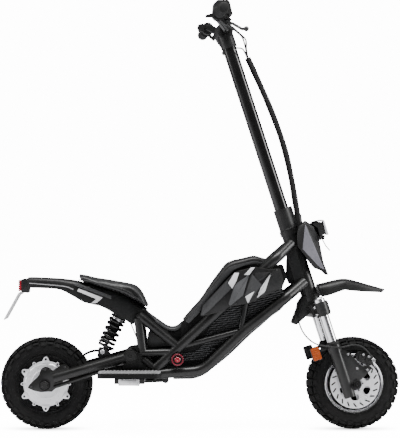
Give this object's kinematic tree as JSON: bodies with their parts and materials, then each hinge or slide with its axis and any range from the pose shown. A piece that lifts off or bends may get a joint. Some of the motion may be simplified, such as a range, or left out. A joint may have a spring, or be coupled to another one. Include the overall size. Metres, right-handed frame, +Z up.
{
  "type": "electric kick scooter",
  "caption": "Full-suspension electric kick scooter with a tubular frame, knobbly pneumatic tyres, telescopic fork, rear swingarm with coil shock and raised tail.",
  "frame": {"origin": "on the ground, midway between the two axles", "axes": "+X forward, +Y the rider's left, +Z up"},
  "size_m": [1.2319, 0.628, 1.327],
  "materials": {
    "black_paint": "satin black powder coat",
    "dark_plastic": "fine-grained moulded plastic",
    "satin_cover": "satin dark grey",
    "light_cover": "light grey moulding",
    "chrome": "hard chrome",
    "silver_cast": "bright cast",
    "steel": "brushed",
    "rubber": "soft grip",
    "tyre": "off-road tread",
    "seat_vinyl": "textured pad",
    "red_lens": "translucent red",
    "orange_lens": "prismatic orange",
    "clear_lens": "clear",
    "screen": "dark display",
    "cable_black": "woven sleeve",
    "spring_black": "gloss black",
    "white_panel": "blank panel"
  },
  "bodies": {
    "frame": {"head_tube": "black_paint", "headset_bearings": "steel", "frame_sides": "black_paint", "frame_cross_tubes": "black_paint", "pivot_axle": "steel", "battery_case": "dark_plastic", "battery_pack": "dark_plastic", "controller": "dark_plastic", "top_cover": "satin_cover", "side_covers": "satin_cover", "side_grilles": "dark_plastic", "belly_pan": "dark_plastic", "charge_port": "dark_plastic", "spine_cover": "light_cover", "front_cowl": "satin_cover", "headlight_housing": "dark_plastic", "headlight_lens": "clear_lens", "seat_pad": "seat_vinyl", "tail_body": "dark_plastic", "tail_lamp_lens": "red_lens", "plate_carrier": "white_panel", "footboards": "light_cover", "stand_bracket": "silver_cast"},
    "kickstand": {"kickstand": "black_paint"},
    "swingarm": {"swingarm": "black_paint", "rear_axle": "steel", "motor_cable": "cable_black"},
    "rear_wheel": {"rear_tyre": "tyre", "hub_motor": "silver_cast"},
    "shock_body": {"shock_body": "silver_cast", "shock_spring": "spring_black"},
    "shock_rod": {"shock_rod": "chrome"},
    "steering": {"stem_tube": "black_paint", "stem_collar": "black_paint", "bar_clamp": "black_paint", "handlebar": "black_paint", "grips": "rubber", "display": "dark_plastic", "display_screen": "screen", "lever_perches": "dark_plastic", "control_housings": "dark_plastic", "fork_crown": "black_paint", "stanchions": "chrome", "front_mudguard": "dark_plastic", "cable_sleeve": "cable_black", "control_cables": "cable_black", "brake_hose_loop": "cable_black"},
    "brake_lever_right": {"brake_lever_right": "black_paint"},
    "brake_lever_left": {"brake_lever_left": "black_paint"},
    "throttle_lever": {"throttle_lever": "light_cover"},
    "horn_button": {"horn_button": "red_lens"},
    "fork_lower": {"fork_legs": "black_paint", "front_axle": "steel", "brake_caliper": "black_paint", "reflectors": "orange_lens", "brake_hose_lower": "cable_black"},
    "front_wheel": {"front_tyre": "tyre", "front_rim": "silver_cast", "brake_disc": "steel", "wheel_bearings": "steel"}
  },
  "joints": [
    {"name": "steering_turn", "type": "hinge", "parent": "frame", "child": "steering", "pos_m": [0.31049, 0, 0.50691], "axis": [-0.309, 0, 0.9511], "range_deg": [-46, 34], "deforming": ["cable_sleeve"]},
    {"name": "fork_travel", "type": "slide", "parent": "steering", "child": "fork_lower", "axis": [-0.309, 0, 0.9511], "range_m": [0, 0.04], "stiffness_N_per_m": 9000, "springref_m": -0.02, "deforming": ["brake_hose_loop"]},
    {"name": "front_wheel_spin", "type": "hinge", "parent": "fork_lower", "child": "front_wheel", "pos_m": [0.47253, 0.00436, 0.14243], "axis": [-0.0994, 0.9945, -0.0323], "continuous": true},
    {"name": "swingarm_pivot", "type": "hinge", "parent": "frame", "child": "swingarm", "pos_m": [-0.211, 0, 0.231], "axis": [0, 1, 0], "range_deg": [0, 7], "stiffness_Nm_per_rad": 700, "springref_deg": -8.59},
    {"name": "rear_wheel_spin", "type": "hinge", "parent": "swingarm", "child": "rear_wheel", "pos_m": [-0.47275, 0, 0.1425], "axis": [0, 1, 0], "continuous": true},
    {"name": "shock_pivot", "type": "hinge", "parent": "frame", "child": "shock_body", "pos_m": [-0.2434, 0, 0.3636], "axis": [0, 1, 0], "range_deg": [0, 1.5]},
    {"name": "shock_stroke", "type": "slide", "parent": "shock_body", "child": "shock_rod", "axis": [0.4104, 0, 0.9119], "range_m": [0, 0.0107], "deforming": ["shock_spring"]},
    {"name": "brake_right", "type": "hinge", "parent": "steering", "child": "brake_lever_right", "pos_m": [0.08319, -0.17577, 1.24339], "axis": [-0.6516, -0.0896, -0.7533], "range_deg": [0, 22], "stiffness_Nm_per_rad": 0.6, "springref_deg": -28.65},
    {"name": "brake_left", "type": "hinge", "parent": "steering", "child": "brake_lever_left", "pos_m": [0.0482, 0.1743, 1.23202], "axis": [0.6516, 0.0896, 0.7533], "range_deg": [0, 22], "stiffness_Nm_per_rad": 0.6, "springref_deg": -28.65},
    {"name": "throttle_press", "type": "hinge", "parent": "steering", "child": "throttle_lever", "pos_m": [0.05603, -0.16169, 1.26521], "axis": [0.0994, -0.9945, 0.0323], "range_deg": [0, 35], "stiffness_Nm_per_rad": 0.15, "springref_deg": -22.92},
    {"name": "horn_press", "type": "slide", "parent": "steering", "child": "horn_button", "axis": [0.995, 0.0994, -0.0016], "range_m": [0, 0.002], "stiffness_N_per_m": 300, "springref_m": -0.002},
    {"name": "stand_swing", "type": "hinge", "parent": "frame", "child": "kickstand", "pos_m": [-0.236, 0.076, 0.141], "axis": [0, 1, 0], "range_deg": [0, 95]}
  ],
  "couplings": [
    {"joint": "shock_pivot", "follows": "swingarm_pivot", "ratio": 0.195},
    {"joint": "shock_stroke", "follows": "swingarm_pivot", "m_per_rad": 0.0848}
  ]
}
